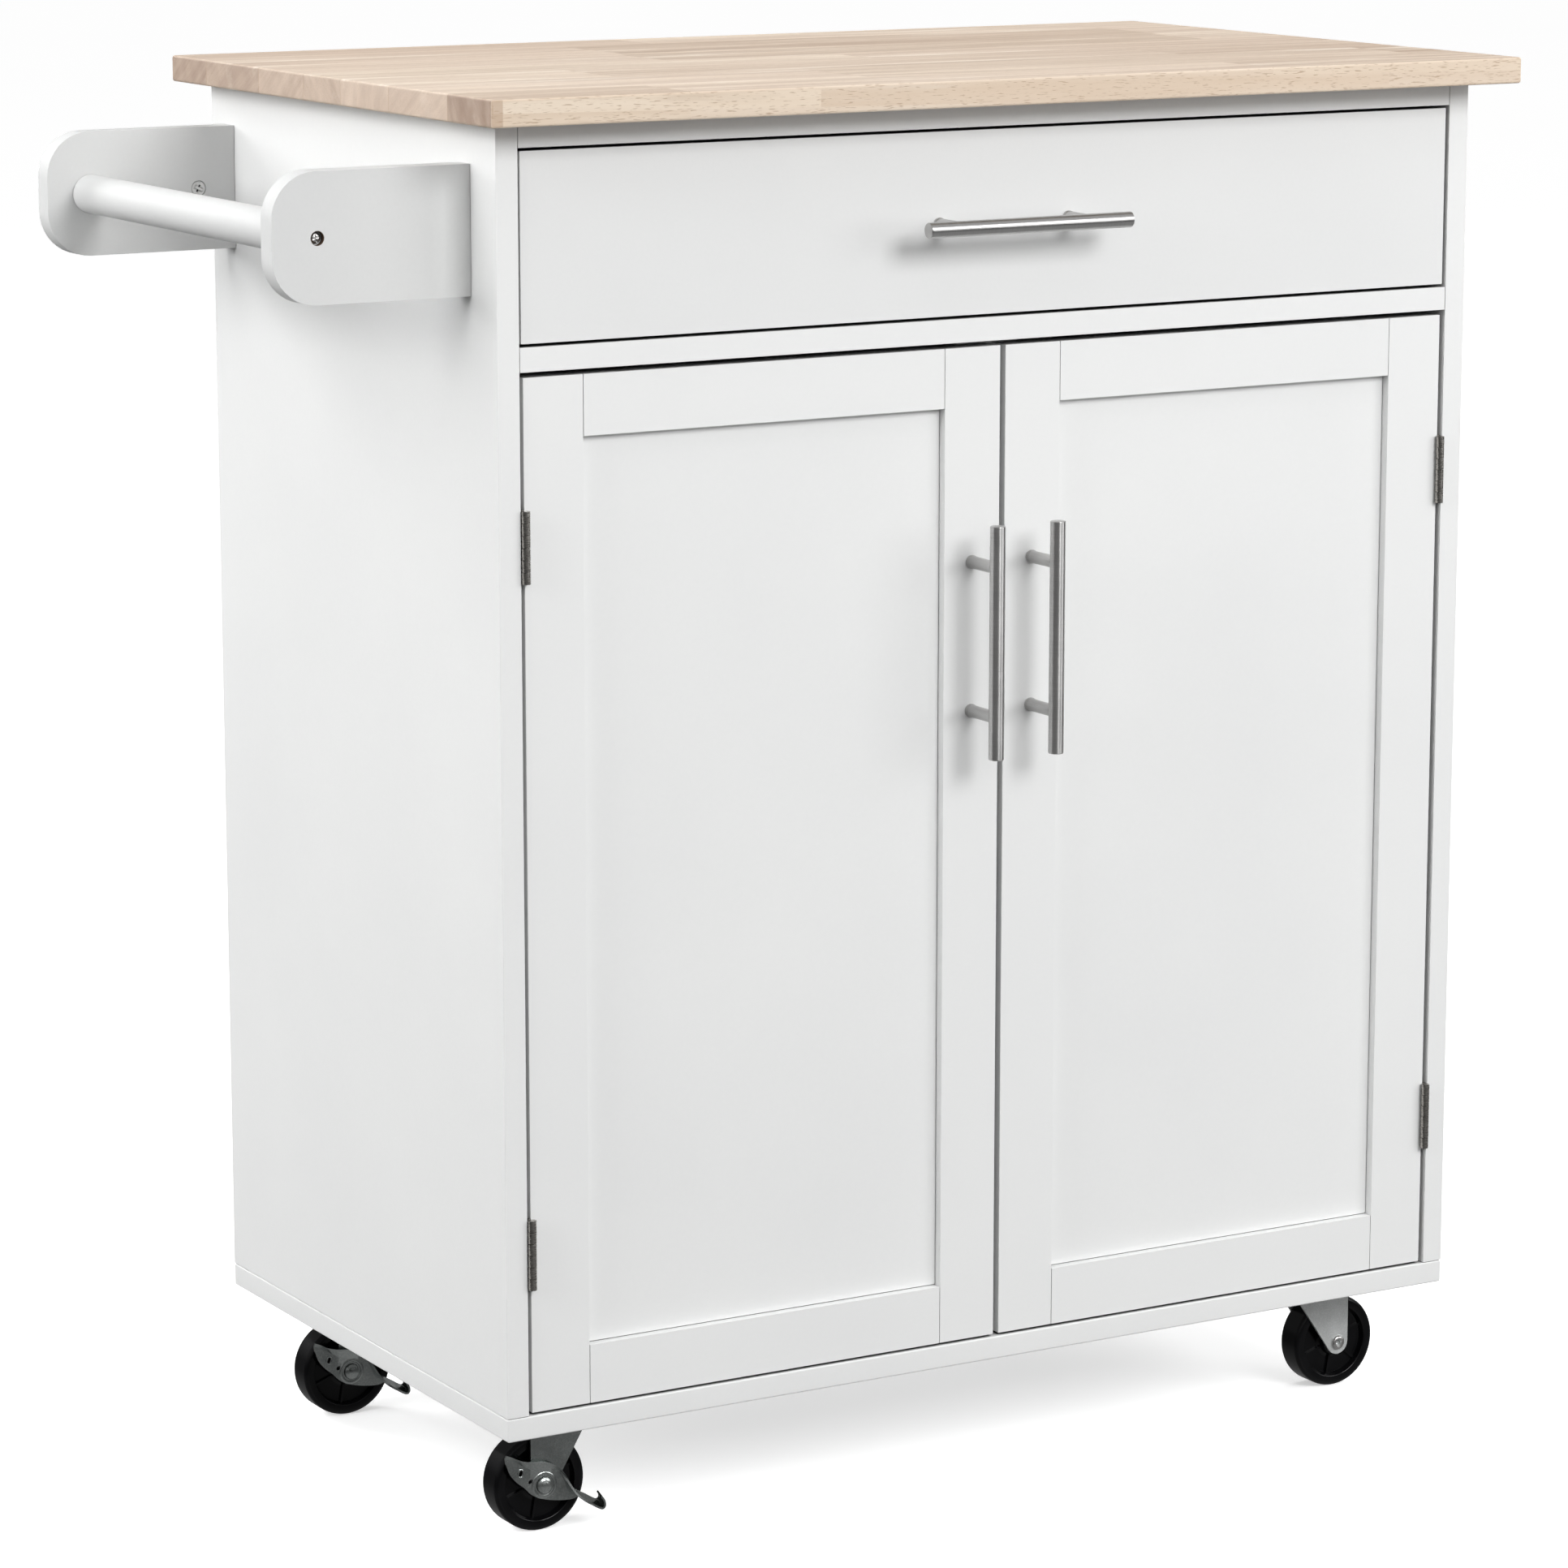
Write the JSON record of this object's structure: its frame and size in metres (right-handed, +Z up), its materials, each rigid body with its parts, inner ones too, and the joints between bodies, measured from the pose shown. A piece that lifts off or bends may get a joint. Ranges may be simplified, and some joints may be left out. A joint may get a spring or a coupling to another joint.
{
  "type": "rolling kitchen cart with butcher block top",
  "caption": "Rolling kitchen island cart: butcher block worktop on a white cabinet with a drawer over two shaker doors, a towel rail at the side and swivel casters.",
  "frame": {"origin": "on the floor, at the middle of the cart's whole footprint, towel rail and handles included", "axes": "+Z up, front faces -Y, +X to the right seen from the front"},
  "size_m": [0.871, 0.4626, 0.918],
  "materials": {
    "rubberwood": "oiled staves, satin",
    "white_paint": "satin white paint on board",
    "white_hardboard": "smooth white faced hardboard",
    "brushed_steel": "brushed",
    "zinc_plate": "bright zinc plate",
    "hinge_steel": "polished nickel plate",
    "black_plastic": "gloss black",
    "white_plastic": "matte"
  },
  "bodies": {
    "cabinet": {"base_panel": "white_paint", "side_panel_left": "white_paint", "side_panel_right": "white_paint", "mid_rail": "white_paint", "top_front_rail": "white_paint", "top_rear_rail": "white_paint", "back_panel": "white_hardboard", "adjustable_shelf": "white_paint", "butcher_block_top": "rubberwood", "magnetic_catch": "white_plastic", "towel_bracket_front": "white_paint", "towel_bracket_rear": "white_paint", "towel_rod": "white_paint", "slide_outer_left": "zinc_plate", "slide_outer_right": "zinc_plate", "left_lower_hinge_cabinet_leaf": "hinge_steel", "left_upper_hinge_cabinet_leaf": "hinge_steel", "right_lower_hinge_cabinet_leaf": "hinge_steel", "right_upper_hinge_cabinet_leaf": "hinge_steel", "front_left_caster_plate": "zinc_plate", "rear_left_caster_plate": "zinc_plate", "front_right_caster_plate": "zinc_plate", "rear_right_caster_plate": "zinc_plate"},
    "drawer": {"drawer_front": "white_paint", "drawer_side_left": "white_paint", "drawer_side_right": "white_paint", "drawer_back": "white_paint", "drawer_bottom": "white_hardboard", "drawer_handle": "brushed_steel", "slide_inner_left": "zinc_plate", "slide_inner_right": "zinc_plate"},
    "left_door": {"left_door_hinge_stile": "white_paint", "left_door_free_stile": "white_paint", "left_door_top_rail": "white_paint", "left_door_bottom_rail": "white_paint", "left_door_panel": "white_paint", "left_door_handle": "brushed_steel", "left_door_strike": "zinc_plate", "left_lower_hinge_door_leaf": "hinge_steel", "left_upper_hinge_door_leaf": "hinge_steel"},
    "right_door": {"right_door_hinge_stile": "white_paint", "right_door_free_stile": "white_paint", "right_door_top_rail": "white_paint", "right_door_bottom_rail": "white_paint", "right_door_panel": "white_paint", "right_door_handle": "brushed_steel", "right_door_strike": "zinc_plate", "right_lower_hinge_door_leaf": "hinge_steel", "right_upper_hinge_door_leaf": "hinge_steel"},
    "front_left_fork": {"front_left_caster_fork": "zinc_plate"},
    "front_left_wheel": {"front_left_wheel": "black_plastic"},
    "front_left_brake": {"front_left_brake_lever": "zinc_plate"},
    "rear_left_fork": {"rear_left_caster_fork": "zinc_plate"},
    "rear_left_wheel": {"rear_left_wheel": "black_plastic"},
    "rear_left_brake": {"rear_left_brake_lever": "zinc_plate"},
    "front_right_fork": {"front_right_caster_fork": "zinc_plate"},
    "front_right_wheel": {"front_right_wheel": "black_plastic"},
    "rear_right_fork": {"rear_right_caster_fork": "zinc_plate"},
    "rear_right_wheel": {"rear_right_wheel": "black_plastic"}
  },
  "joints": [
    {"name": "drawer_slide", "type": "slide", "parent": "cabinet", "child": "drawer", "axis": [0, -1, 0], "range_m": [0, 0.26]},
    {"name": "left_door_hinge", "type": "hinge", "parent": "cabinet", "child": "left_door", "pos_m": [-0.2859, -0.19825, 0.4226], "axis": [0, 0, -1], "range_deg": [0, 170]},
    {"name": "right_door_hinge", "type": "hinge", "parent": "cabinet", "child": "right_door", "pos_m": [0.3989, -0.19825, 0.4226], "axis": [0, 0, 1], "range_deg": [0, 170]},
    {"name": "front_left_swivel", "type": "hinge", "parent": "cabinet", "child": "front_left_fork", "pos_m": [-0.2295, -0.13375, 0.071], "axis": [0, 0, 1], "continuous": true},
    {"name": "front_left_roll", "type": "hinge", "parent": "front_left_fork", "child": "front_left_wheel", "pos_m": [-0.2535, -0.13375, 0.032], "axis": [0, 1, 0], "continuous": true},
    {"name": "front_left_brake_pivot", "type": "hinge", "parent": "front_left_fork", "child": "front_left_brake", "pos_m": [-0.2535, -0.14845, 0.032], "axis": [0, -1, 0], "range_deg": [0, 20]},
    {"name": "rear_left_swivel", "type": "hinge", "parent": "cabinet", "child": "rear_left_fork", "pos_m": [-0.2295, 0.14825, 0.071], "axis": [0, 0, 1], "continuous": true},
    {"name": "rear_left_roll", "type": "hinge", "parent": "rear_left_fork", "child": "rear_left_wheel", "pos_m": [-0.2535, 0.14825, 0.032], "axis": [0, 1, 0], "continuous": true},
    {"name": "rear_left_brake_pivot", "type": "hinge", "parent": "rear_left_fork", "child": "rear_left_brake", "pos_m": [-0.2535, 0.13355, 0.032], "axis": [0, -1, 0], "range_deg": [0, 20]},
    {"name": "front_right_swivel", "type": "hinge", "parent": "cabinet", "child": "front_right_fork", "pos_m": [0.3425, -0.13375, 0.071], "axis": [0, 0, 1], "continuous": true},
    {"name": "front_right_roll", "type": "hinge", "parent": "front_right_fork", "child": "front_right_wheel", "pos_m": [0.3665, -0.13375, 0.032], "axis": [0, 1, 0], "continuous": true},
    {"name": "rear_right_swivel", "type": "hinge", "parent": "cabinet", "child": "rear_right_fork", "pos_m": [0.3425, 0.14825, 0.071], "axis": [0, 0, 1], "continuous": true},
    {"name": "rear_right_roll", "type": "hinge", "parent": "rear_right_fork", "child": "rear_right_wheel", "pos_m": [0.3665, 0.14825, 0.032], "axis": [0, 1, 0], "continuous": true}
  ]
}
